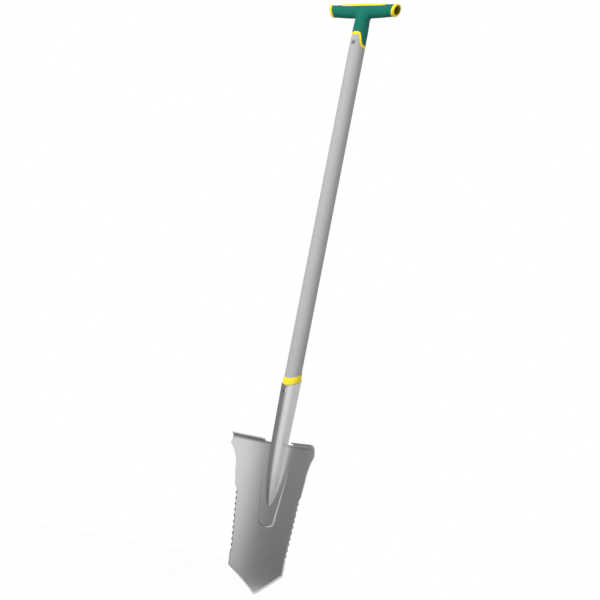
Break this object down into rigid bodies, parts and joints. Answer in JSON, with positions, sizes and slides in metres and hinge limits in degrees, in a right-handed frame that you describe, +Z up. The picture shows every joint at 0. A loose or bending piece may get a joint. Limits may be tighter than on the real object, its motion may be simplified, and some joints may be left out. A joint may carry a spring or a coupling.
{
  "type": "trenching spade",
  "caption": "Long-handled trenching spade with a narrow dished blade, treads, saw edges and a point, a riveted tubular shaft and a T-handle with a through bore.",
  "frame": {"origin": "middle of the T-bar's through bore", "axes": "+Z up along the shaft, from the blade to the handle; +X along the T-bar; the blade's hollow front faces -Y"},
  "size_m": [0.2, 0.0518, 1.1858],
  "materials": {
    "blade_steel": "fine-blasted",
    "yellow_plastic": "semi-gloss",
    "shaft_grey": "satin",
    "black_plastic": "matt",
    "rivet_metal": "bright",
    "pin_steel": "dark",
    "green_cover": "soft, satin"
  },
  "bodies": {
    "root": {"blade": "blade_steel", "socket": "blade_steel", "collar": "yellow_plastic", "shaft_tube": "shaft_grey", "shaft_foot_plug": "black_plastic", "socket_rivet": "rivet_metal", "socket_rivet_pin": "pin_steel", "grip_core": "yellow_plastic", "grip_cover": "green_cover", "handle_rivet": "rivet_metal", "handle_rivet_pin": "pin_steel"}
  },
  "joints": []
}
